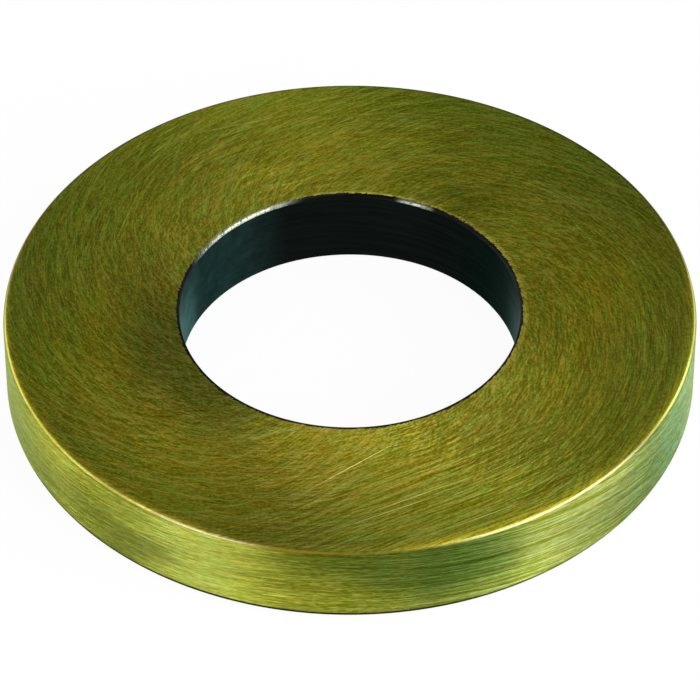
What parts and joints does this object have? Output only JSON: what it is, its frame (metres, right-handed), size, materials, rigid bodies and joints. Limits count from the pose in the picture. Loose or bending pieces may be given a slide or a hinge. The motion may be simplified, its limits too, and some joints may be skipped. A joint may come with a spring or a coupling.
{
  "type": "supply elbow escutcheon",
  "caption": "Thick flat ring in brushed antique brass that slides over a supply elbow's neck and covers the pipe hole in the wall.",
  "frame": {"origin": "centre of the flat face that lies against the wall, on the bore's axis", "axes": "+Z along the bore's axis, from the wall into the room; +X and +Y lie in the wall face"},
  "size_m": [0.0508, 0.0508, 0.0063],
  "materials": {
    "antique_brass": "antique brass: dark patina brushed back to bare metal on the show face and rim, left dark in the bore and on the wall face"
  },
  "bodies": {
    "root": {"escutcheon_ring": "antique_brass"}
  },
  "joints": []
}
